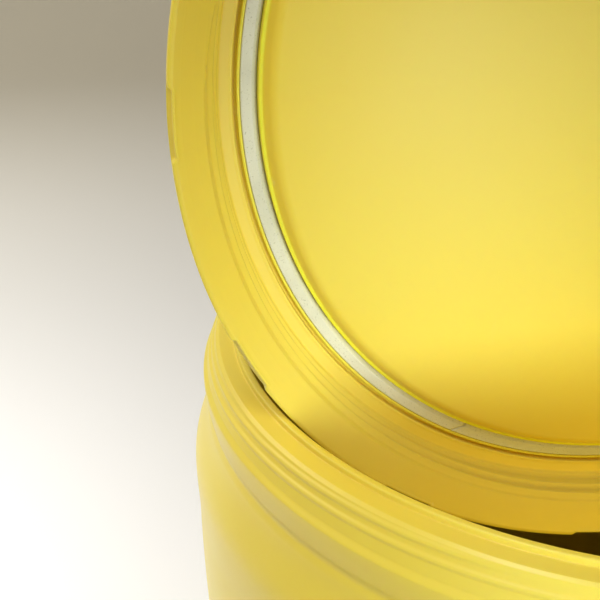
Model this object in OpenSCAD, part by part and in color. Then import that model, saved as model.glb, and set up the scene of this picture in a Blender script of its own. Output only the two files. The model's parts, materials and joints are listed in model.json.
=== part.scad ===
// Open-head overpack drum in yellow polyethylene, with its screw lid taken off.
// The lid stands on edge in the mouth and shows its inside to the front (-Y).
// Origin: centre of the drum's foot, on the floor. +Z is up.

/* [Drum] */
// Height of the mouth's rim above the floor
drum_h = 1020; // [900:5:1150]
// Radius of the mouth at the crest of the rim
rim_r = 344; // [310:1:380]
// Thickness of the moulded wall
wall = 6.5; // [5:0.5:9]
// Radius of the round top edge of the rim
rim_round = 5; // [4:0.5:7]
// How far the neck's roll stands out past the rim's crest
neck_out = 33; // [29:1:40]
// Depth below the rim of the fullest part of the neck's roll
neck_drop = 38; // [34:1:50]
// How far the upper body's roll stands out past the rim's crest
shoulder_out = 44; // [38:1:52]
// Depth below the rim of the fullest part of the body's roll
shoulder_drop = 128; // [115:1:160]
// How far the plain wall stands out past the rim's crest
wall_out = 42; // [36:1:48]
// How far the wall tapers in from its top down to the foot
foot_in = 24; // [0:1:50]
// Radius of the corner between the wall and the foot
foot_round = 26; // [15:1:40]
// Width of the flat ring that the drum stands on
foot_ring_w = 34; // [20:1:60]
// Height that the middle of the base is raised off the floor
base_rise = 12; // [6:1:25]
// How far each strengthening hoop stands out from the wall
hoop_out = 7; // [4:1:12]
// Height of one hoop
hoop_h = 60; // [40:2:90]

/* [Thread] */
// Depth below the rim where the threaded cone starts
cone_top = 8; // [7:0.5:9]
// Depth below the rim where the threaded cone ends
cone_end = 31; // [29:1:33]
// How far the top of the cone stands out past the rim's crest
cone_out = 21; // [18:1:23]
// Rise of the thread in one full turn
lead = 27; // [18:1:36]
// Number of thread starts
starts = 3; // [2:1:4]
// Height of a thread ridge above its cone
ridge_h = 3.6; // [2:0.2:4.4]
// Width of a thread ridge at its foot
ridge_w = 4.2; // [3:0.2:6]

/* [Lid] */
// How far the lid's edge stands out past the rim's crest
lid_over = 59; // [48:1:85]
// Depth of the gasket's face inside the lid, from the edge
seal_depth = 46; // [42:1:60]
// Thickness of the lid's moulded wall
lid_wall = 6.5; // [5:0.5:9]
// Gap between the lid's cone and the neck's cone when closed
cone_gap = 5; // [4.5:0.5:6]
// Depth of the flat panel inside the lid, from the edge
panel_depth = 35; // [30:1:45]
// Depth of the groove outside the gasket, past the gasket's face
groove_deep = 5; // [3:0.5:8]
// Height of the step between the lid's cone and its flat shoulder
terrace = 5; // [3:0.5:6]
// Width of the groove outside the gasket
groove_w = 3; // [2:0.5:5]
// Thickness of the low lips that hold the gasket
channel_lip = 2.4; // [2:0.2:3.4]
// How far the outer lip stands past the gasket's face
lip_proud = 0.5; // [0.2:0.1:2]
// Number of grip lugs round the outside
lug_count = 8; // [4:2:12]
// Width of one grip lug
lug_w = 30; // [16:2:50]
// Number of shallow finger recesses in the lid's edge
recess_count = 13; // [6:1:16]
// Angle that one recess takes up
recess_angle = 7; // [4:0.5:12]
// Depth of each shallow recess in the lid's edge
recess_cut = 3; // [1:0.5:5]
// Direction of the first recess, from the top of the standing lid
recess_at = 90.5; // [0:0.5:360]

/* [Gasket] */
// Width of the foam strip
gasket_w = 12; // [10:0.5:16]
// Height of the foam strip
gasket_h = 10; // [7:0.5:14]
// Clearance round the strip in its channel
gasket_gap = 0.3; // [0.2:0.1:0.8]
// Gap where the two slanted ends of the strip meet
joint_gap = 0.6; // [0.3:0.1:2]
// Direction of the strip's joint, from the top of the standing lid
joint_at = 151; // [0:1:360]

/* [Standing lid] */
// How far the standing lid leans back from upright, or forward if less than 0
lean = -2; // [-6:0.5:12]
// Distance from the drum's axis forward to the lid's edge, at the rim
stand_y = 115; // [60:1:160]
// Clearance between the standing lid and the rim
stand_gap = 0.5; // [0.3:0.1:1]

/* [Hidden] */
yellow = [0.96, 0.87, 0.36];
foam_grey = [0.80, 0.79, 0.70];
step = 0.125;
turn_pieces = 60;

// Smooth S-shaped change from one value to another while u goes from 0 to 1
function ease(from, to, u) = from + (to - from) * (1 - cos(180 * u)) / 2;

// Eased outline through [along, across] points, without the last one
function eased(points) = [for (i = [0 : len(points) - 2], u = [0 : step : 1 - step])
    let (a = points[i], b = points[i + 1])
    [a[0] + (b[0] - a[0]) * u, ease(a[1], b[1], u)]];

// Neck: a flat shoulder round the rim, then a straight threaded cone down to the roll
cone_top_r = rim_r + cone_out;
cone_end_r = rim_r + neck_out - 4;
crease_drop = neck_drop + 30;
crease_r = rim_r + neck_out - 3;

// Drum's wall: [depth below the rim, radius] where each roll or hoop turns
wall_drop = shoulder_drop + 52;
wall_r = rim_r + wall_out;
foot_r = wall_r - foot_in;
lower_drop = drum_h - foot_round;
hoop_drops = [drum_h * 0.44, drum_h * 0.73];

function taper_r(drop) = wall_r + (foot_r - wall_r) * (drop - wall_drop) / (lower_drop - wall_drop);

function hoop_points(drop) = [
    [drop - hoop_h / 2, taper_r(drop - hoop_h / 2)],
    [drop, taper_r(drop) + hoop_out],
    [drop + hoop_h / 2, taper_r(drop + hoop_h / 2)]];

side_points = concat(
    [[cone_end, cone_end_r], [neck_drop, rim_r + neck_out], [crease_drop, crease_r]],
    [[shoulder_drop, rim_r + shoulder_out], [wall_drop, wall_r]],
    [for (d = hoop_drops) each hoop_points(d)],
    [[lower_drop, foot_r]]);
side = [for (p = eased(side_points)) [p[1], drum_h - p[0]]];
floor_top = base_rise + wall;
inner_side = [for (i = [len(side) - 1 : -1 : 0])
    if (side[i][1] > floor_top + foot_round) [side[i][0] - wall, side[i][1]]];

rim_arc = [for (a = [0 : 15 : 180])
    [rim_r - rim_round * cos(a), drum_h - rim_round + rim_round * sin(a)]];
foot_arc = [for (a = [0 : 15 : 90])
    [foot_r - foot_round + foot_round * cos(a), foot_round - foot_round * sin(a)]];
heel_r = foot_r - foot_round;
heel_arc = [for (a = [90 : -15 : 0])
    [heel_r - wall + foot_round * cos(a), floor_top + foot_round - foot_round * sin(a)]];
foot_ring_r = heel_r - foot_ring_w;

drum_outline = concat(
    rim_arc, [[cone_top_r - 3, drum_h - cone_top + 2], [cone_top_r, drum_h - cone_top]],
    side, foot_arc,
    [[foot_ring_r, 0], [foot_ring_r - base_rise, base_rise], [0, base_rise]],
    [[0, floor_top]], heel_arc, inner_side,
    [[rim_r - rim_round, drum_h - cone_end / 2]]);

// Lid: its own axis is Z, its edge lies at z = 0 and its top at the highest z
lid_r = rim_r + lid_over;
lip = lid_wall / 2;
flare_r = cone_end_r + cone_gap;
flare_z = seal_depth - cone_end;
cone_low_r = cone_top_r + cone_gap;
cone_low_z = seal_depth - cone_top;
strip_in = rim_r - gasket_w / 2;
strip_out = rim_r + gasket_w / 2;
channel_in = strip_in - gasket_gap;
channel_out = strip_out + gasket_gap;
channel_z = seal_depth + gasket_h + gasket_gap;
groove_r = channel_out + channel_lip + groove_w;
ring_z = channel_z + lid_wall;
skirt_out = lid_wall + 3;

lip_arc = [for (a = [180 : -20 : 0]) [lid_r - lip - lip * cos(a), lip - lip * sin(a)]];
flare = [for (p = eased([[lid_wall, lid_r - lid_wall], [flare_z, flare_r]])) [p[1], p[0]]];

lid_outline = concat(
    lip_arc, flare,
    [[flare_r, flare_z], [cone_low_r, cone_low_z]],
    [[cone_low_r - 3, cone_low_z + 2], [cone_low_r - 4, cone_low_z + terrace]],
    [[groove_r + 3, cone_low_z + terrace + 1.5], [groove_r, cone_low_z + terrace + 1.5]],
    [[groove_r, seal_depth + groove_deep]],
    [[channel_out + channel_lip, seal_depth + groove_deep]],
    [[channel_out + channel_lip, seal_depth - lip_proud], [channel_out, seal_depth - lip_proud]],
    [[channel_out, channel_z], [channel_in, channel_z]],
    [[channel_in, seal_depth - 3], [channel_in - channel_lip, seal_depth - 3]],
    [[channel_in - 9, panel_depth], [0, panel_depth]],
    [[0, panel_depth + lid_wall], [channel_in - 22, panel_depth + lid_wall]],
    [[channel_in - 16, ring_z], [cone_low_r, ring_z]],
    [[cone_low_r + skirt_out, ring_z - 8], [flare_r + skirt_out, flare_z + 2]],
    [[lid_r - 1, lid_wall + 4], [lid_r, lid_wall + 2]]);

// Standing place: the lid's edge wedges between the two sides of the round rim
half_first = sqrt(rim_r * rim_r - stand_y * stand_y);
slope = sqrt(lid_r * lid_r - half_first * half_first) / half_first;
seat_r = rim_r - rim_round * (sqrt(1 + slope * slope) - slope) - stand_gap;
half_chord = sqrt(seat_r * seat_r - pow(stand_y - lip, 2));
stand_up = sqrt(lid_r * lid_r - half_chord * half_chord);

// Turns the lid's own frame so that its inside faces the front
module standing() {
    translate([0, stand_up * sin(lean) - stand_y, drum_h + stand_up * cos(lean)])
        rotate([-90 - lean, 0, 0])
            rotate([0, 0, -90])
                children();
}

// Thread ridges: each runs once round the cone, from mid-way in its end ramps
cone_run = cone_end - cone_top;
cone_angle = atan((cone_end_r - cone_top_r) / cone_run);
thread_turn = 360 * (cone_run - ridge_w) / lead;
ramp = 14;
bury = 1.2;

function cone_r(drop) = cone_top_r + (cone_end_r - cone_top_r) * (drop - cone_top) / cone_run;
function rise(a) = ridge_h * max(0.12, min(1, a / ramp, (thread_turn - a) / ramp));

// One cross-section: [radius, drop] across the ridge, side = 1 on the neck and -1 in the lid
function section(a, side, gap) =
    let (drop = cone_top + ridge_w / 2 + lead * a / 360,
         r = cone_r(drop) + gap,
         h = rise(a),
         w = ridge_w / 2)
    [for (p = [[-w, -bury], [w, -bury], [w * 0.45, h], [-w * 0.45, h]])
        [r + p[0] * sin(cone_angle) + side * p[1] * cos(cone_angle),
         drop + p[0] * cos(cone_angle) - side * p[1] * sin(cone_angle)]];

module ridge(first, side, gap) {
    rings = [for (i = [0 : turn_pieces])
        let (a = thread_turn * i / turn_pieces, t = first - a)
        [for (p = section(a, side, gap)) [p[0] * cos(t), p[0] * sin(t), -p[1]]]];
    points = [for (ring = rings) each ring];
    last = 4 * turn_pieces;
    walls = [for (i = [0 : turn_pieces - 1], k = [0 : 3])
        let (a = 4 * i + k, b = 4 * i + (k + 1) % 4)
        each [[a, b, b + 4], [a, b + 4, a + 4]]];
    ends = [[3, 2, 1], [3, 1, 0], [last, last + 1, last + 2], [last, last + 2, last + 3]];
    faces = concat(walls, ends);
    polyhedron(points, side < 0 ? faces : [for (f = faces) [f[2], f[1], f[0]]]);
}

// The lid's ridges lie midway between the neck's when the lid is on
lid_phase = 180 / starts - 360 * cone_gap * sin(cone_angle) * cos(cone_angle) / lead;

module thread(phase, side, gap) {
    for (i = [0 : starts - 1]) ridge(phase + 360 * i / starts, side, gap);
}

module drum_body() {
    color(yellow) union() {
        rotate_extrude($fn = 180) polygon(drum_outline);
        translate([0, 0, drum_h]) thread(0, 1, 0);
    }
}

module edge_recesses() {
    for (i = [0 : recess_count - 1])
        rotate([0, 0, -recess_at - 360 * i / recess_count - recess_angle / 2])
            translate([0, 0, -1])
                rotate_extrude(angle = recess_angle, $fn = 180)
                    translate([lid_r - recess_cut, 0])
                        square([recess_cut + 5, lid_wall + 1]);
}

module grip_lugs() {
    lug_in = flare_r - 4;
    for (i = [0 : lug_count - 1])
        rotate([0, 0, 360 * (i + 0.5) / lug_count])
            translate([lug_in + lid_wall, -lug_w / 2, flare_z + 1])
                cube([lid_r - 5 - lug_in - lid_wall, lug_w, ring_z - 8 - flare_z]);
}

module lid() {
    color(yellow) standing() union() {
        difference() {
            rotate_extrude($fn = 180) polygon(lid_outline);
            edge_recesses();
        }
        grip_lugs();
        translate([0, 0, seal_depth]) thread(lid_phase, -1, cone_gap);
    }
}

module lid_gasket() {
    color(foam_grey) standing() difference() {
        translate([0, 0, seal_depth])
            rotate_extrude($fn = 180)
                translate([strip_in, 0])
                    square([gasket_w, gasket_h]);
        rotate([0, 0, -joint_at])
            translate([rim_r, 0, seal_depth + gasket_h / 2])
                rotate([0, 0, 45])
                    cube([3 * gasket_w, joint_gap, 3 * gasket_h], center = true);
    }
}

drum_body();
lid();
lid_gasket();
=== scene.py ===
"""Yellow overpack drum with its screw lid standing in the mouth, built round its model."""

import json
import math

import bmesh
import bpy
import numpy as np
from bpy.props import FloatProperty, FloatVectorProperty, IntProperty, PointerProperty
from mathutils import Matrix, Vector


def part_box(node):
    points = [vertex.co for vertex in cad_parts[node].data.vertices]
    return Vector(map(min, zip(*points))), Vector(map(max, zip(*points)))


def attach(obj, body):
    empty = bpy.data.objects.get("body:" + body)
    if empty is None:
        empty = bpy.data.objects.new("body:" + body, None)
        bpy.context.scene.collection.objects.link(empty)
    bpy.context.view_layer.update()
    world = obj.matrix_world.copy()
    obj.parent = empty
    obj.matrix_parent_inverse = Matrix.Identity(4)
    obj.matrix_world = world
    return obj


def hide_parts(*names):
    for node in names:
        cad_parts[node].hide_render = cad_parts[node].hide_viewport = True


bl_info = {
    "name": "Overpack drum maker",
    "version": (1, 0, 0),
    "blender": (4, 5, 0),
    "location": "View3D > Sidebar > Drum",
    "description": "Makes a moulded overpack drum, its screw lid and its foam gasket",
    "category": "Object",
}

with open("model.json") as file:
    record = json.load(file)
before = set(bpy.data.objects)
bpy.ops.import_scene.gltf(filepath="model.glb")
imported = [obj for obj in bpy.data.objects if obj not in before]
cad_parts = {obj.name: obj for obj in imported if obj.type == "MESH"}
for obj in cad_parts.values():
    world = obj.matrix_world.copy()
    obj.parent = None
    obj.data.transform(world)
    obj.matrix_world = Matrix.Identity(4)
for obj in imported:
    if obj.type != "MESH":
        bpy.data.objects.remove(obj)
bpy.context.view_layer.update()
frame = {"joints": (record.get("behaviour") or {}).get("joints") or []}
MM = 0.001
DRUM_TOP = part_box("drum_body")[1].z
LID_TURN = next(joint for joint in frame["joints"] if joint["name"] == "lid_turn")
LONGEST = 2000 * MM  # the most that a size may be set to

# How the drum's neck and wall follow from the sizes below
CONE_INSET = 4 * MM  # the threaded cone ends this far inside the neck's roll
WAIST_INSET = 3 * MM  # the waist under that roll lies this far inside it
WAIST_BELOW = 30 * MM  # depth of the waist below the neck's roll
WALL_BELOW = 52 * MM  # depth of the plain wall's top below the body's roll
HOOP_PLACES = (0.44, 0.73)  # shares of the drum's height, from its top
BORE_SHARE = 0.4  # the bore lies this share of the rim's round inside the crest
OUTSIDE_PAST = 15 * MM  # a point this far past the rim's radius is on the outside

# How finely the meshes are made
AROUND = 720  # even directions round a turned piece
BESIDE_EDGE = (-1.05, -0.5, 0, 0.5, 1.05)  # extra directions at an edge, in ramp widths
THREAD_STEP = 0.6 * MM  # longest stretch of the outline on a thread
NEARLY_STRAIGHT = math.radians(89.5)  # half of a corner's angle that needs no arc
CORNER_SHARE = 0.46  # most of a side that a corner's arc may use
EASE_STEPS = 12  # points on each bend of a smooth curve


# Sizes and colours that a user would change

def length(name, description, millimetres):
    """A size property given in millimetres and kept in metres."""
    return FloatProperty(name=name, description=description, default=millimetres * MM,
                         min=0.0, max=LONGEST, unit="LENGTH", subtype="DISTANCE")


def colour(name, description, rgb):
    """A colour property in linear red, green and blue."""
    return FloatVectorProperty(name=name, description=description, default=rgb,
                               size=3, min=0.0, max=1.0, subtype="COLOR")


class DrumSizes(bpy.types.PropertyGroup):
    """Sizes of the drum's body, its neck and its thread"""
    rim_r: length("Rim radius", "Radius of the mouth at the crest of the rim", 344)
    wall: length("Wall", "Thickness of the moulded wall", 6.5)
    rim_round: length("Rim round", "Radius of the round top edge", 5)
    neck_out: length("Neck roll", "How far the neck's roll stands out past the rim", 33)
    neck_drop: length("Neck roll depth", "Depth of the neck's roll below the rim", 38)
    shoulder_out: length("Body roll", "How far the body's roll stands out past the rim", 44)
    shoulder_drop: length("Body roll depth", "Depth of the body's roll below the rim", 128)
    wall_out: length("Wall radius past rim", "How far the plain wall stands out", 42)
    foot_r: length("Foot radius", "Radius of the wall just above the foot", 362)
    foot_round: length("Foot round", "Radius of the corner between wall and foot", 26)
    foot_ring_w: length("Foot ring", "Width of the ring that the drum stands on", 34)
    base_rise: length("Base rise", "Height of the raised middle of the base", 12)
    hoop_out: length("Hoop", "How far each strengthening hoop stands out", 7)
    hoop_h: length("Hoop height", "Height of one strengthening hoop", 60)
    cone_top: length("Cone top", "Depth below the rim where the threaded cone starts", 8)
    cone_end: length("Cone end", "Depth below the rim where the threaded cone ends", 31)
    cone_out: length("Cone top past rim", "How far the top of the cone stands out", 21)
    lead: length("Thread lead", "Rise of the thread in one full turn", 27)
    ridge_h: length("Ridge height", "Height of a thread ridge above its cone", 3.6)
    ridge_w: length("Ridge width", "Width of a thread ridge at its foot", 4.2)
    crease_deep: length("Crease", "Depth of the crease under the neck", 2)
    crease_drop: length("Crease place", "Depth of the crease's middle below the rim", 67)
    crease_w: length("Crease width", "Distance over which the crease fades out", 5)
    # The drum's inside is painted darker from the first depth to the second, a painted shade
    # where little light reaches down into it
    painted_shade_from: length("Shade from", "Depth where the inside starts to look deeper", 60)
    painted_shade_to: length("Shade to", "Depth where the inside has its deepest colour", 200)
    thread_show: FloatProperty(name="Thread height share", default=0.4, min=0, max=1,
                               description="Share of the ridge height left by soft moulding")
    starts: IntProperty(name="Thread starts", description="Number of thread ridges",
                        default=3, min=1, max=6)


class LidSizes(bpy.types.PropertyGroup):
    """Sizes of the screw lid"""
    lid_r: length("Lid radius", "Radius of the lid at its edge", 403)
    seal_depth: length("Seal depth", "Depth of the gasket's face from the edge", 46)
    lid_wall: length("Wall", "Thickness of the lid's moulded wall", 6.5)
    cone_gap: length("Cone gap", "Gap between the lid's cone and the neck's", 5)
    panel_depth: length("Panel depth", "Depth of the flat panel from the edge", 35)
    groove_deep: length("Groove depth", "Depth of the groove past the gasket's face", 5)
    groove_w: length("Groove width", "Width of the groove outside the gasket", 3)
    terrace: length("Terrace", "Step between the cone and the flat shoulder", 5)
    channel_lip: length("Channel lip", "Thickness of the lips that hold the gasket", 2.4)
    lip_proud: length("Lip proud", "How far the outer lip stands past the gasket", 0.5)
    panel_crown: length("Panel crown", "How far the moulded panel waves out of flat", 1.2)
    recess_cut: length("Recess cut", "Depth of each shallow recess in the edge", 3)
    lug_w: length("Lug width", "Width of one grip lug", 30)
    recess_count: IntProperty(name="Recesses", description="Recesses in the edge",
                              default=13, min=1, max=40)
    lug_count: IntProperty(name="Lugs", description="Grip lugs round the outside",
                           default=8, min=1, max=24)
    recess_angle: FloatProperty(name="Recess angle", description="Angle of one recess",
                                default=math.radians(7), subtype="ANGLE")
    recess_at: FloatProperty(name="First recess", description="Direction of the first recess",
                             default=math.radians(90.5), subtype="ANGLE")


class GasketSizes(bpy.types.PropertyGroup):
    """Sizes of the foam strip in the lid"""
    width: length("Width", "Width of the foam strip", 12)
    height: length("Height", "Height of the foam strip", 10)
    gap: length("Clearance", "Clearance round the strip in its channel", 0.3)
    joint_gap: length("Joint gap", "Gap where the slanted ends meet", 0.6)
    slope_w: length("Slope width", "Width of the strip's slanted inner shoulder", 4.2)
    slope_h: length("Slope depth", "Depth of the strip's slanted inner shoulder", 4.0)
    joint_at: FloatProperty(name="Joint at", description="Direction of the strip's joint",
                            default=math.radians(151), subtype="ANGLE")


class Finishes(bpy.types.PropertyGroup):
    """Colours of the two materials, with a painted shade deep inside the drum and a painted
    glow on the lid's thin lips
    """
    plastic: colour("Plastic", "Colour of the yellow polyethylene", (0.87, 0.695, 0.105))
    plastic_pale: colour("Pale plastic", "Colour where the plastic is rubbed or dusty",
                         (0.90, 0.76, 0.30))
    plastic_deep: colour("Deep plastic", "Colour in the thick parts of the moulding",
                         (0.85, 0.63, 0.05))
    # Painted glow: the lid's thin lips take this colour, in place of light shining through
    # them
    painted_lip_glow: colour("Painted lip glow", "Colour where light comes through thin lips",
                          (0.88, 0.86, 0.04))
    # Painted shade: the drum's inside takes this colour deeper down, in place of the shade
    # there
    painted_shade: colour("Painted inner shade", "Colour deep inside the drum",
                          (0.42, 0.33, 0.045))
    foam: colour("Foam", "Colour of the gasket's foam", (0.78, 0.78, 0.66))
    foam_dark: colour("Foam pores", "Colour of the foam's open cells", (0.42, 0.42, 0.31))


class Studio(bpy.types.PropertyGroup):
    """Colours of the floor and the place of the camera"""
    # The far colour is a painted shade, a little darker and warmer than the near one
    floor_near: colour("Floor near", "Colour of the floor near the camera",
                       (0.93, 0.915, 0.89))
    floor_far: colour("Floor far", "Colour of the floor far from the camera",
                      (0.95, 0.87, 0.69))
    lens: FloatProperty(name="Lens", description="Focal length of the camera",
                        default=61.64, unit="CAMERA")
    pitch: FloatProperty(name="Pitch", description="Angle the camera looks down",
                         default=math.radians(26.466), subtype="ANGLE")
    heading: FloatProperty(name="Heading", description="Angle the camera turns right of +Y",
                           default=math.radians(10.705), subtype="ANGLE")
    place: FloatVectorProperty(name="Place", description="Place of the camera",
                               default=(-0.4387, -0.7685, 1.4528), subtype="XYZ")


# Outlines: a corner is (across, along, rounding) and a point is (across, along)

def rounded(corners, steps):
    """The outline with each corner turned into a small arc of its own rounding."""
    out = []
    for i, (x, y, r) in enumerate(corners):
        here = Vector((x, y))
        if i in (0, len(corners) - 1) or r <= 0:
            out.append((x, y))
            continue
        back = Vector(corners[i - 1][:2]) - here
        ahead = Vector(corners[i + 1][:2]) - here
        half = back.angle(ahead) / 2
        if half > NEARLY_STRAIGHT:
            out.append((x, y))
            continue
        cut = min(r / math.tan(half), CORNER_SHARE * min(back.length, ahead.length))
        start, end = here + back.normalized() * cut, here + ahead.normalized() * cut
        for k in range(steps + 1):
            t = k / steps
            p = start * (1 - t) ** 2 + here * 2 * t * (1 - t) + end * t ** 2
            out.append((p.x, p.y))
    return out


def eased(points):
    """Smooth S-shaped curve through (along, across) points, as (across, along, 0) corners."""
    out = []
    for (a0, b0), (a1, b1) in zip(points, points[1:]):
        for k in range(EASE_STEPS):
            u = k / EASE_STEPS
            out.append((b0 + (b1 - b0) * (1 - math.cos(math.pi * u)) / 2,
                        a0 + (a1 - a0) * u, 0))
    return out + [(points[-1][1], points[-1][0], 0)]


def divided(points, gap):
    """Adds points so that no stretch is longer than gap(across, along)."""
    out = [points[0]]
    for a, b in zip(points, points[1:]):
        run = math.dist(a, b)
        if run < 1e-7:
            continue
        parts = max(1, math.ceil(run / gap((a[0] + b[0]) / 2, (a[1] + b[1]) / 2)))
        out += [(a[0] + (b[0] - a[0]) * k / parts, a[1] + (b[1] - a[1]) * k / parts)
                for k in range(1, parts + 1)]
    return np.array(out)


def smooth(low, high, value):
    """0 below low, 1 above high and a smooth change between."""
    t = np.clip((value - low) / (high - low), 0, 1)
    return t * t * (3 - 2 * t)


def turns(edges=(), ramp=0.0):
    """Even directions round a turned piece, with extra ones beside each edge."""
    full = 2 * math.pi
    extra = [(edge + beside * ramp) % full for edge in edges for beside in BESIDE_EDGE]
    angles = np.sort(np.concatenate([np.arange(AROUND) * full / AROUND, extra]))
    keep = np.append(True, np.diff(angles) > 1e-4)
    return angles[keep]


def solid_of_turn(name, places, tone):
    """Mesh from a grid of places [direction, outline point], capped at its two poles.

    The tone of an outline point is its share of the material's second colour: the drum's
    painted shade deep inside, and the lid's painted glow on its thin lips.
    """
    count, along = places.shape[:2]
    span = along - 2
    verts = np.vstack([places[:, 1:-1].reshape(-1, 3),
                       places[:, 0].mean(0), places[:, -1].mean(0)])
    i, k = np.meshgrid(np.arange(count), np.arange(span - 1), indexing="ij")
    here, after = i * span + k, (i + 1) % count * span + k
    quads = np.stack([here, after, after + 1, here + 1], -1)
    faces = quads.reshape(-1, 4).tolist()
    first, last = len(verts) - 2, len(verts) - 1
    for a in range(count):
        b = (a + 1) % count
        faces.append([first, b * span, a * span])
        faces.append([last, a * span + span - 1, b * span + span - 1])
    mesh = bpy.data.meshes.new(name)
    mesh.from_pydata(verts.tolist(), [], faces)
    values = np.append(np.tile(tone[1:-1], count), [tone[0], tone[-1]])
    layer = mesh.attributes.new("tone", "FLOAT", "POINT")
    layer.data.foreach_set("value", values.astype(np.float32))
    return finished(mesh)


def finished(mesh):
    """Turns the faces outwards, shades them smooth and links the piece to the scene."""
    shape = bmesh.new()
    shape.from_mesh(mesh)
    bmesh.ops.recalc_face_normals(shape, faces=shape.faces)
    for face in shape.faces:
        face.smooth = True
    shape.to_mesh(mesh)
    shape.free()
    piece = bpy.data.objects.new(mesh.name, mesh)
    bpy.context.scene.collection.objects.link(piece)
    return piece


class Thread:
    """The screw thread shared by the drum's neck and the lid's cone."""

    def __init__(self, drum):
        self.top, self.end = drum.cone_top, drum.cone_end
        self.top_r = drum.rim_r + drum.cone_out
        self.end_r = drum.rim_r + drum.neck_out - CONE_INSET
        self.run = self.end - self.top
        self.angle = math.atan((self.end_r - self.top_r) / self.run)
        self.lead, self.starts = drum.lead, drum.starts
        self.high, self.wide = drum.ridge_h, drum.ridge_w
        self.turn = 360 * (self.run - self.wide) / self.lead

    def height(self, direction, drop, phase):
        """Ridge height over the cone at a direction in degrees and a depth below the rim."""
        fade = 16  # degrees over which a ridge's ends run out
        flat, foot = 0.15 * self.wide / 2, 1.7 * self.wide / 2
        total = np.zeros(np.broadcast(direction, drop).shape)
        for start in range(self.starts):
            first = phase + 360 * start / self.starts
            a = np.mod(first - direction, 360)
            middle = self.top + self.wide / 2 + self.lead * a / 360
            off = np.abs(drop - middle) / math.cos(self.angle)
            ends = smooth(0, fade, a) * smooth(0, fade, self.turn - a)
            total = np.maximum(total, self.high * ends * (1 - smooth(flat, foot, off)))
        on_cone = smooth(self.top - 1.5 * MM, self.top + 1.5 * MM, drop)
        on_cone = on_cone * (1 - smooth(self.end - 0.5 * MM, self.end + 2 * MM, drop))
        return total * on_cone


def drum_outline(s):
    """Outline of the drum from the middle of its inner floor over the rim to its base."""
    wall_drop = s.shoulder_drop + WALL_BELOW
    wall_r, neck_r = s.rim_r + s.wall_out, s.rim_r + s.neck_out
    lower = DRUM_TOP - s.foot_round

    def taper(drop):
        """Radius of the plain wall at a depth below the rim."""
        return wall_r + (s.foot_r - wall_r) * (drop - wall_drop) / (lower - wall_drop)

    bends = [(s.cone_end, neck_r - CONE_INSET), (s.neck_drop, neck_r),
             (s.neck_drop + WAIST_BELOW, neck_r - WAIST_INSET),
             (s.shoulder_drop, s.rim_r + s.shoulder_out), (wall_drop, wall_r)]
    half = s.hoop_h / 2
    for share in HOOP_PLACES:
        drop = DRUM_TOP * share
        bends += [(drop - half, taper(drop - half)), (drop, taper(drop) + s.hoop_out),
                  (drop + half, taper(drop + half))]
    bends.append((lower, s.foot_r))
    side = [(r, DRUM_TOP - drop, 0) for r, drop, _ in eased(bends)]
    floor = s.base_rise + s.wall
    inner = [(r - s.wall, z, 0) for r, z, _ in side if z > floor + s.foot_round]
    ring = s.foot_r - s.foot_round - s.foot_ring_w
    top_r, top_z = s.rim_r + s.cone_out, DRUM_TOP - s.cone_top
    r_in, r_out = s.rim_r - BORE_SHARE * s.rim_round, s.rim_r + s.rim_round
    corners = [(0, floor, 0), (s.foot_r - s.wall, floor, s.foot_round)] + inner[::-1]
    corners += [(r_in, DRUM_TOP - s.cone_end / 2, 6 * MM), (r_in, DRUM_TOP, s.rim_round),
                (r_out, DRUM_TOP, s.rim_round), (r_out, DRUM_TOP - 5.2 * MM, 1.2 * MM),
                (top_r - 3 * MM, top_z + 2 * MM, 2 * MM), (top_r, top_z, 2 * MM)]
    corners += side[:-1] + [(s.foot_r, 0, s.foot_round), (ring, 0, 3 * MM),
                            (ring - s.base_rise, s.base_rise, 3 * MM), (0, s.base_rise, 0)]
    return corners


def make_drum_body(s):
    """The drum: one moulded wall with rolls, hoops and a threaded neck."""
    thread = Thread(s)
    outside_r, floor_r = s.rim_r + OUTSIDE_PAST, 300 * MM
    neck_z, roll_z = DRUM_TOP - 80 * MM, DRUM_TOP - 270 * MM
    cone_low, cone_high = DRUM_TOP - s.cone_end - 2 * MM, DRUM_TOP - s.cone_top + 2 * MM

    def gap(r, z):
        if cone_low < z < cone_high and r > outside_r:
            return THREAD_STEP
        if z > neck_z:
            return 1.6 * MM
        if z > roll_z:
            return 3.5 * MM
        return 9 * MM if r > floor_r else 40 * MM

    line = divided(rounded(drum_outline(s), steps=6), gap)
    r, z = line[:, 0], line[:, 1]
    angles = turns()
    drop = DRUM_TOP - z
    ridge = s.thread_show * thread.height(np.degrees(angles)[:, None], drop[None, :], 0.0)
    crease = s.crease_deep * np.exp(-((drop - s.crease_drop) / s.crease_w) ** 2)
    lift = np.where((r > outside_r)[None, :], ridge - crease, 0)
    radius = r[None, :] + lift * math.cos(thread.angle)
    height = z[None, :] + lift * math.sin(thread.angle)
    # The wall of a moulded drum is never quite round
    uneven = 0.6 * MM * (0.5 * np.sin(3 * angles + 0.6) + 0.3 * np.sin(5 * angles + 2.1))
    on_body = smooth(0.04, 0.2, drop) * smooth(0.02, 0.12, z) * (r > floor_r)
    radius = radius + uneven[:, None] * on_body[None, :]
    places = np.stack([radius * np.cos(angles)[:, None],
                       radius * np.sin(angles)[:, None], height], -1)
    # The inside is painted towards the second colour with depth, a painted shade for the dark
    # deep in the drum
    inside = np.arange(len(z)) < int(np.argmax(z))
    return solid_of_turn("moulded_drum", places,
                         inside * smooth(s.painted_shade_from, s.painted_shade_to, drop))


class LidFrame:
    """Places of points given by depth, radius and direction in the standing lid."""

    def __init__(self):
        self.centre = np.array(LID_TURN["pos_m"])
        self.inward = np.array(LID_TURN["axis"])
        self.up = np.array((0.0, -self.inward[2], self.inward[1]))
        self.right = np.array((1.0, 0.0, 0.0))

    def place(self, radius, depth, direction):
        """Direction 0 is the top of the standing lid and grows towards -X."""
        return (self.centre + depth[..., None] * self.inward
                + (radius * np.cos(direction))[..., None] * self.up
                - (radius * np.sin(direction))[..., None] * self.right)


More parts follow.
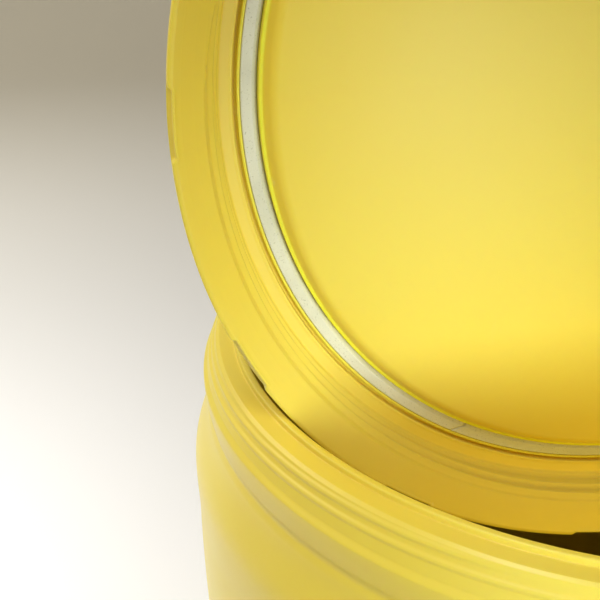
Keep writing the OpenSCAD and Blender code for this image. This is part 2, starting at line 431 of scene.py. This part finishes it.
class LidPlaces:
    """Radii and depths in the lid, worked out from its sizes and from what it fits."""

    def __init__(self, s, drum, gasket):
        self.thread = Thread(drum)
        self.flare_r = self.thread.end_r + s.cone_gap
        self.flare_z = s.seal_depth - self.thread.end
        self.low_r = self.thread.top_r + s.cone_gap
        self.low_z = s.seal_depth - self.thread.top
        self.in_r = drum.rim_r - gasket.width / 2 - gasket.gap
        self.out_r = drum.rim_r + gasket.width / 2 + gasket.gap
        self.channel_z = s.seal_depth + gasket.height + gasket.gap
        self.groove_z = s.seal_depth + s.groove_deep
        self.ring_z = self.channel_z + s.lid_wall


def lid_outline(s, p):
    """Outline of the lid from the middle of its panel over the edge to its outside."""
    lip_in_z, lip_out_z = s.seal_depth - 3 * MM, s.seal_depth - s.lip_proud
    groove_r = p.out_r + s.channel_lip + s.groove_w
    terrace_z = p.low_z + s.terrace
    skirt = s.lid_wall + 3 * MM
    back_z = s.panel_depth + s.lid_wall
    channel = [
        (0, s.panel_depth, 0), (p.in_r - 9 * MM, s.panel_depth, 12 * MM),
        (p.in_r - s.channel_lip - 0.6 * MM, lip_in_z, 1.6 * MM),
        (p.in_r, lip_in_z, 1.1 * MM), (p.in_r, p.channel_z, 0.8 * MM),
        (p.out_r, p.channel_z, 0.8 * MM), (p.out_r, lip_out_z, 0.9 * MM),
        (p.out_r + s.channel_lip, lip_out_z, 1.1 * MM),
        (p.out_r + s.channel_lip, p.groove_z, 1.2 * MM), (groove_r, p.groove_z, 1.2 * MM)]
    cone = [
        (groove_r, terrace_z + 1.5 * MM, 1.8 * MM),
        (groove_r + 3 * MM, terrace_z + 1.5 * MM, 1.5 * MM),
        (p.low_r - 4 * MM, terrace_z, 2 * MM), (p.low_r - 3 * MM, p.low_z + 2 * MM, 1.5 * MM),
        (p.low_r, p.low_z, 1.5 * MM), (p.flare_r, p.flare_z, 2 * MM)]
    edge = [
        (p.flare_r + 7 * MM, 9.5 * MM, 9 * MM), (s.lid_r - 9 * MM, 3.2 * MM, 6 * MM),
        (s.lid_r - 3.6 * MM, 0, 2.4 * MM), (s.lid_r, 0, 1.8 * MM),
        (s.lid_r, s.lid_wall + 2 * MM, 1.6 * MM),
        (s.lid_r - 1 * MM, s.lid_wall + 4 * MM, 1.6 * MM)]
    outside = [
        (p.flare_r + skirt, p.flare_z + 2 * MM, 3 * MM),
        (p.low_r + skirt, p.ring_z - 8 * MM, 5 * MM), (p.low_r, p.ring_z, 4 * MM),
        (p.in_r - 16 * MM, p.ring_z, 3 * MM), (p.in_r - 22 * MM, back_z, 5 * MM),
        (0, back_z, 0)]
    return channel + cone + edge + outside


def make_lid(s, drum, gasket):
    """The screw lid: panel, gasket channel, threaded cone, flared edge and grip lugs."""
    p = LidPlaces(s, drum, gasket)
    thread = p.thread

    def gap(r, z):
        if r < 300 * MM:
            return 30 * MM
        if p.low_r - 2 * MM < r < p.flare_r + 1 * MM and p.flare_z < z < p.low_z:
            return THREAD_STEP
        return 2 * MM

    line = divided(rounded(lid_outline(s, p), steps=5), gap)
    r, z = line[:, 0], line[:, 1]
    inside = np.arange(len(z)) <= int(np.argmin(z))

    # Lugs and recesses: how many, the direction of the first and how wide each is
    lugs = (s.lug_count, math.pi / s.lug_count, 2 * math.asin(s.lug_w / 2 / s.lid_r))
    recesses = (s.recess_count, s.recess_at, s.recess_angle)
    edges = [first + i * 2 * math.pi / count + side * width / 2
             for count, first, width in (lugs, recesses)
             for i in range(count) for side in (-1, 1)]
    ramp = math.radians(0.28)
    angles = turns(edges, ramp)

    def near(count, first, width):
        """1 at the directions that a row of lugs or recesses covers, and 0 between."""
        step = 2 * math.pi / count
        off = np.abs(np.mod(angles - first + step / 2, step) - step / 2)
        return 1 - smooth(width / 2 - ramp, width / 2 + ramp, off)

    radius, depth = np.tile(r, (len(angles), 1)), np.tile(z, (len(angles), 1))
    cut_r = s.lid_r - s.recess_cut
    in_lip = (z < s.lid_wall + 0.6 * MM) & (r > cut_r - 4 * MM)
    cut = np.clip(r - (cut_r - 0.5 * (s.lid_r - r)), 0, None) * in_lip
    radius = radius - near(*recesses)[:, None] * cut[None, :]

    lug_low, lug_high = p.flare_z + 1 * MM, p.ring_z - 7 * MM
    lug_r = s.lid_r - 8 * MM + 3 * MM * smooth(lug_low, lug_low + 3 * MM, z)
    lug_r = lug_r - 4 * MM * smooth(lug_high - 5 * MM, lug_high, z)
    on_skirt = ~inside & (z > lug_low - 0.5 * MM) & (z < lug_high + 0.2 * MM) & (r > p.low_r)
    out_by = np.clip(lug_r - r, 0, None) * on_skirt
    radius = radius + near(*lugs)[:, None] * out_by[None, :]

    # The thread meshes with the neck's, half a pitch on and across the gap between the cones
    across_gap = s.cone_gap * math.sin(thread.angle) * math.cos(thread.angle)
    phase = 180 / thread.starts - 360 * across_gap / thread.lead
    on_cone = inside & (r > p.low_r - 2 * MM) & (r < p.flare_r + 3 * MM)
    lift = on_cone * thread.height(-np.degrees(angles)[:, None],
                                   (s.seal_depth - z)[None, :], phase)
    radius = radius - lift * math.cos(thread.angle)
    depth = depth + lift * math.sin(thread.angle)

    # The panel waves slowly out of flat
    across, high = radius * np.sin(angles)[:, None], radius * np.cos(angles)[:, None]
    wave = 0.55 * np.cos(7.5 * across + 0.4) + 0.45 * np.sin(6.0 * high - 0.7)
    depth = depth + s.panel_crown * wave * (1 - smooth(0.26, 0.325, radius))

    def along_lip(middle, width):
        """1 along the middle of a lip, fading out beside it."""
        return np.exp(-((r - middle) / width) ** 2)

    # Painted glow: the thin lips of the channel take the second colour, in place of light
    # shining through them
    thin_in = along_lip(p.in_r - 1.4 * MM, 1.7 * MM) * (z < p.channel_z - 4 * MM)
    thin_out = 0.45 * along_lip(p.out_r + 1.2 * MM, 1.5 * MM) * (z < p.groove_z)
    places = LidFrame().place(radius, depth, np.tile(angles[:, None], (1, len(r))))
    return solid_of_turn("screw_lid", places, np.maximum(thin_in, thin_out) * inside)


def make_gasket(s, drum, lid):
    """The foam strip, open at its slanted joint."""
    face, back = lid.seal_depth, lid.seal_depth + s.height
    inner, outer = drum.rim_r - s.width / 2, drum.rim_r + s.width / 2
    corners = [(outer - 1 * MM, back, 0), (outer, back, 0.8 * MM), (outer, face, 0.9 * MM),
               (inner + s.slope_w, face, 1.0 * MM), (inner, face + s.slope_h, 1.2 * MM),
               (inner, back, 0.8 * MM), (outer - 1 * MM, back, 0)]
    line = divided(rounded(corners, steps=4), lambda r, z: 1.0 * MM)[:-1]
    r, z = line[:, 0], line[:, 1]
    # The ends are cut at 45 degrees, and the strip stops half the joint's gap before each
    middle = drum.rim_r
    half = s.joint_gap / 2 * math.sqrt(2) / middle
    count, waves = 900, 90
    turn = np.linspace(s.joint_at + half, s.joint_at + 2 * math.pi - half, count)
    direction = turn[:, None] - (r - middle)[None, :] / middle
    # The soft face lies a little unevenly, and its back is flat in the channel
    rng = np.random.default_rng(7)
    wobble = np.interp(turn, np.linspace(turn[0], turn[-1], waves),
                       rng.normal(0, 0.16 * MM, waves))
    wobble = 0.6 * np.clip(wobble, -0.2 * MM, 0.3 * MM)
    to_face = np.clip((back - z) / s.height, 0, 1)
    depth = z[None, :] + wobble[:, None] * to_face[None, :]
    depth = np.maximum(depth, face - 0.2 * MM)
    places = LidFrame().place(np.tile(r, (count, 1)), depth, direction)
    span = len(r)
    faces = [[a * span + k, (a + 1) * span + k, (a + 1) * span + (k + 1) % span,
              a * span + (k + 1) % span] for a in range(count - 1) for k in range(span)]
    faces += [list(range(span)), list(range((count - 1) * span, count * span))[::-1]]
    mesh = bpy.data.meshes.new("foam_gasket")
    mesh.from_pydata(places.reshape(-1, 3).tolist(), [], faces)
    return finished(mesh)


# Shared effects, as node groups that put out masks and heights

def new_group(name, inputs, outputs):
    """An empty shader node group with the named number inputs and outputs."""
    group = bpy.data.node_groups.new(name, "ShaderNodeTree")
    for label, default in inputs:
        group.interface.new_socket(label, in_out="INPUT",
                                   socket_type="NodeSocketFloat").default_value = default
    for label in outputs:
        group.interface.new_socket(label, in_out="OUTPUT", socket_type="NodeSocketFloat")
    return group, group.nodes.new("NodeGroupInput"), group.nodes.new("NodeGroupOutput")


def noise(tree, scale, detail, rough, stretch=None):
    """Noise over the object's own coordinates, in metres."""
    coords = tree.nodes.new("ShaderNodeTexCoord")
    node = tree.nodes.new("ShaderNodeTexNoise")
    node.inputs["Detail"].default_value = detail
    node.inputs["Roughness"].default_value = rough
    source = coords.outputs["Object"]
    if stretch:
        mapping = tree.nodes.new("ShaderNodeMapping")
        mapping.inputs["Scale"].default_value = stretch
        tree.links.new(source, mapping.inputs["Vector"])
        source = mapping.outputs["Vector"]
    tree.links.new(source, node.inputs["Vector"])
    if isinstance(scale, float):
        node.inputs["Scale"].default_value = scale
    else:
        tree.links.new(scale, node.inputs["Scale"])
    return node.outputs["Fac"]


def between(tree, value, low, high, out_low=0.0, out_high=1.0):
    """Maps value from low..high to out_low..out_high, smoothly and clamped."""
    node = tree.nodes.new("ShaderNodeMapRange")
    node.interpolation_type = "SMOOTHSTEP"
    node.inputs["From Min"].default_value = low
    node.inputs["From Max"].default_value = high
    node.inputs["To Min"].default_value = out_low
    node.inputs["To Max"].default_value = out_high
    tree.links.new(value, node.inputs["Value"])
    return node.outputs["Result"]


def arithmetic(tree, kind, a, b):
    """A math node of one kind between two values or sockets."""
    node = tree.nodes.new("ShaderNodeMath")
    node.operation = kind
    for socket, value in zip(node.inputs, (a, b)):
        if isinstance(value, (int, float)):
            socket.default_value = value
        else:
            tree.links.new(value, socket)
    return node.outputs[0]


def times(tree, first, *others):
    """The product of values or sockets."""
    for other in others:
        first = arithmetic(tree, "MULTIPLY", first, other)
    return first


def mix(tree, amount, first, second):
    """A colour between first and second, which are colours or sockets."""
    node = tree.nodes.new("ShaderNodeMix")
    node.data_type = "RGBA"
    # The node's sockets share their names over all its kinds, so colours go by number
    colour_a, colour_b, result = node.inputs[6], node.inputs[7], node.outputs[2]
    tree.links.new(amount, node.inputs["Factor"])
    for socket, value in ((colour_a, first), (colour_b, second)):
        if isinstance(value, bpy.types.NodeSocket):
            tree.links.new(value, socket)
        else:
            socket.default_value = (*value, 1.0)
    return result


def mottle_group():
    """Slow clouds of tone, as in thick moulded plastic or foam."""
    group, given, out = new_group("slow_mottle", [("Scale", 6.0), ("Amount", 0.5)], ["Mask"])
    broad = noise(group, given.outputs["Scale"], 2.0, 0.45)
    mask = times(group, between(group, broad, 0.36, 0.66), given.outputs["Amount"])
    group.links.new(mask, out.inputs["Mask"])
    return group


def grain_group():
    """Fine grain as a height, with a mask of its darkest pits."""
    group, given, out = new_group("fine_grain", [("Scale", 900.0), ("Strength", 0.5)],
                                  ["Height", "Pits"])
    fine = noise(group, given.outputs["Scale"], 4.0, 0.6)
    height = times(group, fine, given.outputs["Strength"])
    group.links.new(height, out.inputs["Height"])
    group.links.new(between(group, fine, 0.42, 0.28), out.inputs["Pits"])
    return group


def rub_group():
    """Where edges and ridges are rubbed pale, broken up by patches."""
    group, given, out = new_group("rubbed_edges", [("Amount", 0.5), ("Patch Scale", 30.0)],
                                  ["Mask"])
    geometry = group.nodes.new("ShaderNodeNewGeometry")
    edge = between(group, geometry.outputs["Pointiness"], 0.515, 0.60)
    patch = between(group, noise(group, given.outputs["Patch Scale"], 4.0, 0.6), 0.38, 0.66)
    mask = times(group, edge, patch, given.outputs["Amount"])
    group.links.new(mask, out.inputs["Mask"])
    return group


def scuff_group():
    """Thin scuffs and flecks of dust, as a mask."""
    group, given, out = new_group("light_scuffs", [("Scale", 60.0), ("Amount", 0.5)],
                                  ["Mask"])
    lines = between(group, noise(group, given.outputs["Scale"], 6.0, 0.7, (1, 1, 0.12)),
                    0.66, 0.78)
    flecks = between(group, noise(group, 420.0, 2.0, 0.5), 0.70, 0.80)
    both = arithmetic(group, "MAXIMUM", lines, times(group, flecks, 0.7))
    group.links.new(times(group, both, given.outputs["Amount"]), out.inputs["Mask"])
    return group


def place_group(tree, name, maker, **values):
    """A shared group in a material, with its own values; the first use makes the group."""
    node = tree.nodes.new("ShaderNodeGroup")
    node.node_tree = bpy.data.node_groups.get(name) or maker()
    for label, value in values.items():
        node.inputs[label.replace("_", " ")].default_value = value
    return node


def grain_bump(tree, grain, shader, strength, depth):
    """Lets a grain group's height roughen the shader's normal."""
    bump = tree.nodes.new("ShaderNodeBump")
    bump.inputs["Strength"].default_value = strength
    bump.inputs["Distance"].default_value = depth
    tree.links.new(grain.outputs["Height"], bump.inputs["Height"])
    tree.links.new(bump.outputs["Normal"], shader.inputs["Normal"])


def plastic_material(name, finish, painted_shade_and_glow, cloud_scale, scuffs, roughness):
    """Satin polyethylene, a little translucent, with soft clouds, scuffs and rubbed edges."""
    cloud_rough, scuff_rough = 0.10, 0.18  # how much rougher clouds and scuffs are
    material = bpy.data.materials.new(name)
    material.use_nodes = True
    tree = material.node_tree
    shader = tree.nodes["Principled BSDF"]
    clouds = place_group(tree, "slow_mottle", mottle_group, Scale=cloud_scale, Amount=0.55)
    rubs = place_group(tree, "rubbed_edges", rub_group, Amount=0.45, Patch_Scale=26.0)
    marks = place_group(tree, "light_scuffs", scuff_group, Scale=34.0, Amount=scuffs)
    grain = place_group(tree, "fine_grain", grain_group, Scale=520.0, Strength=0.25)
    tone = tree.nodes.new("ShaderNodeAttribute")
    tone.attribute_name = "tone"
    base = mix(tree, clouds.outputs["Mask"], finish.plastic, finish.plastic_deep)
    base = mix(tree, rubs.outputs["Mask"], base, finish.plastic_pale)
    base = mix(tree, marks.outputs["Mask"], base, finish.plastic_pale)
    # The tone paints the second colour: a painted shade deep inside the drum, a painted glow
    # on the lid's thin lips
    base = mix(tree, tone.outputs["Fac"], base, painted_shade_and_glow)
    tree.links.new(base, shader.inputs["Base Color"])
    rough = arithmetic(tree, "ADD", times(tree, clouds.outputs["Mask"], cloud_rough),
                       roughness)
    rough = arithmetic(tree, "ADD", rough, times(tree, marks.outputs["Mask"], scuff_rough))
    tree.links.new(rough, shader.inputs["Roughness"])
    shader.inputs["Specular IOR Level"].default_value = 0.34
    shader.inputs["Subsurface Weight"].default_value = 0.2
    shader.inputs["Subsurface Radius"].default_value = (1.0, 0.7, 0.08)
    shader.inputs["Subsurface Scale"].default_value = 0.012
    grain_bump(tree, grain, shader, strength=0.10, depth=0.4 * MM)
    return material


def foam_material(finish):
    """Matt closed-cell foam with small open cells on its cut faces."""
    material = bpy.data.materials.new("closed_cell_foam")
    material.use_nodes = True
    tree = material.node_tree
    shader = tree.nodes["Principled BSDF"]
    clouds = place_group(tree, "slow_mottle", mottle_group, Scale=22.0, Amount=0.25)
    grain = place_group(tree, "fine_grain", grain_group, Scale=650.0, Strength=1.0)
    base = mix(tree, times(tree, grain.outputs["Pits"], 0.7), finish.foam, finish.foam_dark)
    base = mix(tree, clouds.outputs["Mask"], base, finish.foam_dark)
    tree.links.new(base, shader.inputs["Base Color"])
    tree.links.new(between(tree, grain.outputs["Height"], 0.3, 0.7, 0.9, 0.72),
                   shader.inputs["Roughness"])
    grain_bump(tree, grain, shader, strength=0.5, depth=0.5 * MM)
    return material


# The stage

def make_floor(studio):
    """A pale floor that rises into a plain backdrop far behind the drum, its colour painted a
    little darker and warmer towards the back as painted shade.
    """
    front, bend, bend_r, top, half_wide = -7.0, 5.0, 2.5, 6.0, 9.0
    below = 0.5 * MM  # keeps the floor apart from the drum's foot
    rows = [(front, 0.0), (bend, 0.0)]
    rows += [(bend + bend_r * math.sin(t), bend_r - bend_r * math.cos(t))
             for t in np.linspace(0.1, math.pi / 2, 14)] + [(bend + bend_r, top)]
    columns = np.linspace(-half_wide, half_wide, 13)
    verts = [(x, y, z - below) for y, z in rows for x in columns]
    wide = len(columns)
    faces = [[a * wide + k, a * wide + k + 1, (a + 1) * wide + k + 1, (a + 1) * wide + k]
             for a in range(len(rows) - 1) for k in range(wide - 1)]
    mesh = bpy.data.meshes.new("studio_floor")
    mesh.from_pydata(verts, [], faces)
    floor = finished(mesh)
    material = bpy.data.materials.new("pale_floor")
    material.use_nodes = True
    tree = material.node_tree
    coords = tree.nodes.new("ShaderNodeTexCoord")
    apart = tree.nodes.new("ShaderNodeSeparateXYZ")
    tree.links.new(coords.outputs["Object"], apart.inputs["Vector"])
    # Painted shade: the floor turns a little darker and warmer towards the back, in place of
    # the light falling off there
    far = between(tree, apart.outputs["Y"], 0.3, 6.0)
    shader = tree.nodes["Principled BSDF"]
    tree.links.new(mix(tree, far, studio.floor_near, studio.floor_far),
                   shader.inputs["Base Color"])
    shader.inputs["Roughness"].default_value = 0.9
    mesh.materials.append(material)


def soft_light(name, place, target, size, power, beam, tint=(1.0, 1.0, 1.0)):
    """An area light that looks at a target, with its beam kept within an angle in degrees."""
    light = bpy.data.lights.new(name, "AREA")
    light.shape = "RECTANGLE"
    light.size, light.size_y = size
    light.energy = power
    light.color = tint
    light.spread = math.radians(beam)
    lamp = bpy.data.objects.new(name, light)
    lamp.location = place
    lamp.visible_camera = False
    lamp.rotation_euler = (Vector(target) - Vector(place)).to_track_quat("-Z", "Y").to_euler()
    bpy.context.scene.collection.objects.link(lamp)


def make_surround():
    """A pale studio all round, dimmer overhead, on the left and behind the drum."""
    world = bpy.data.worlds.new("pale_surround")
    world.use_nodes = True
    tree = world.node_tree
    background = tree.nodes["Background"]
    background.inputs["Color"].default_value = (1.0, 0.97, 0.90, 1.0)
    coords = tree.nodes.new("ShaderNodeTexCoord")
    apart = tree.nodes.new("ShaderNodeSeparateXYZ")
    tree.links.new(coords.outputs["Generated"], apart.inputs["Vector"])
    overhead = between(tree, apart.outputs["Z"], 0.15, 0.85, 0.62, 0.12)
    behind = between(tree, apart.outputs["Y"], -0.6, 0.5, 1.0, 0.35)
    left = between(tree, apart.outputs["X"], -0.9, 0.3, 0.5, 1.05)
    tree.links.new(times(tree, overhead, behind, left), background.inputs["Strength"])
    bpy.context.scene.world = world


def make_lights():
    """A front card at the mouth's height, soft light above and two washes on the floor."""
    soft_light("front_card", place=(0.08, -1.0, 1.04), target=(-0.21, -0.13, 1.05),
               size=(0.3, 0.25), power=0.5, beam=48, tint=(0.88, 1.0, 0.92))
    soft_light("key_above", place=(-0.62, -0.6, 2.3), target=(-0.2, -0.36, 1.0),
               size=(0.4, 0.25), power=3.2, beam=120, tint=(1.0, 0.98, 0.93))
    # Stands for the light that the drum's yellow inside throws on the lid
    soft_light("mouth_bounce", place=(-0.02, -0.30, 0.86), target=(-0.08, -0.12, 1.0),
               size=(0.36, 0.1), power=0.3, beam=160, tint=(1.0, 0.74, 0.08))
    soft_light("floor_wash", place=(-2.4, 1.6, 3.0), target=(-1.8, 2.0, 0),
               size=(2.4, 2.4), power=76, beam=150)
    soft_light("near_wash", place=(-1.7, 0.6, 2.2), target=(-1.3, 0.5, 0),
               size=(1.0, 1.0), power=8, beam=80)
    make_surround()


def make_camera(studio):
    """The camera, level and looking a little down and right."""
    lens = bpy.data.cameras.new("camera")
    lens.lens, lens.sensor_width = studio.lens, 36
    lens.clip_start = 20 * MM
    camera = bpy.data.objects.new("camera", lens)
    camera.location = studio.place
    camera.rotation_euler = (math.pi / 2 - studio.pitch, 0, -studio.heading)
    bpy.context.scene.collection.objects.link(camera)
    bpy.context.scene.camera = camera


# Operators, one for each piece and one for the stage

class OBJECT_OT_make_drum_body(bpy.types.Operator):
    """Makes the drum's moulded body"""
    bl_idname = "object.make_drum_body"
    bl_label = "Make drum body"

    def execute(self, context):
        finish = context.scene.drum_finishes
        piece = make_drum_body(context.scene.drum_sizes)
        piece.data.materials.append(plastic_material(
            "drum_polyethylene", finish, finish.painted_shade,
            cloud_scale=3.0, scuffs=0.22, roughness=0.34))
        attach(piece, "drum")
        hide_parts("drum_body")
        return {"FINISHED"}


class OBJECT_OT_make_lid(bpy.types.Operator):
    """Makes the screw lid"""
    bl_idname = "object.make_lid"
    bl_label = "Make lid"

    def execute(self, context):
        scene, finish = context.scene, context.scene.drum_finishes
        piece = make_lid(scene.lid_sizes, scene.drum_sizes, scene.gasket_sizes)
        piece.data.materials.append(plastic_material(
            "lid_polyethylene", finish, finish.painted_lip_glow,
            cloud_scale=2.4, scuffs=0.16, roughness=0.38))
        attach(piece, "lid")
        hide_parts("lid")
        return {"FINISHED"}


class OBJECT_OT_make_gasket(bpy.types.Operator):
    """Makes the foam gasket"""
    bl_idname = "object.make_gasket"
    bl_label = "Make gasket"

    def execute(self, context):
        scene = context.scene
        piece = make_gasket(scene.gasket_sizes, scene.drum_sizes, scene.lid_sizes)
        piece.data.materials.append(foam_material(scene.drum_finishes))
        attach(piece, "seal")
        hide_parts("lid_gasket")
        return {"FINISHED"}


class OBJECT_OT_make_stage(bpy.types.Operator):
    """Makes the floor, the lights and the camera"""
    bl_idname = "object.make_stage"
    bl_label = "Make stage"

    def execute(self, context):
        make_floor(context.scene.drum_studio)
        make_lights()
        make_camera(context.scene.drum_studio)
        context.scene.view_settings.view_transform = "Standard"
        return {"FINISHED"}


class VIEW3D_PT_drum_maker(bpy.types.Panel):
    """Lists the sizes and colours, and the makers of the pieces and the stage"""
    bl_label = "Drum maker"
    bl_idname = "VIEW3D_PT_drum_maker"
    bl_space_type = "VIEW_3D"
    bl_region_type = "UI"
    bl_category = "Drum"

    def draw(self, context):
        for name, group in GROUPS.items():
            box = self.layout.box()
            box.label(text=group.__doc__)
            for setting in group.__annotations__:
                box.prop(getattr(context.scene, name), setting)
        for maker in MAKERS:
            self.layout.operator(maker.bl_idname)


GROUPS = {"drum_sizes": DrumSizes, "lid_sizes": LidSizes, "gasket_sizes": GasketSizes,
          "drum_finishes": Finishes, "drum_studio": Studio}
MAKERS = (OBJECT_OT_make_drum_body, OBJECT_OT_make_lid, OBJECT_OT_make_gasket,
          OBJECT_OT_make_stage)


def register():
    for item in (*GROUPS.values(), *MAKERS, VIEW3D_PT_drum_maker):
        bpy.utils.register_class(item)
    for name, group in GROUPS.items():
        setattr(bpy.types.Scene, name, PointerProperty(type=group))


def unregister():
    for name in GROUPS:
        delattr(bpy.types.Scene, name)
    for item in (VIEW3D_PT_drum_maker, *MAKERS, *GROUPS.values()):
        bpy.utils.unregister_class(item)


def main():
    register()
    bpy.ops.object.make_drum_body()
    bpy.ops.object.make_lid()
    bpy.ops.object.make_gasket()
    bpy.ops.object.make_stage()


if __name__ == "__main__":
    main()
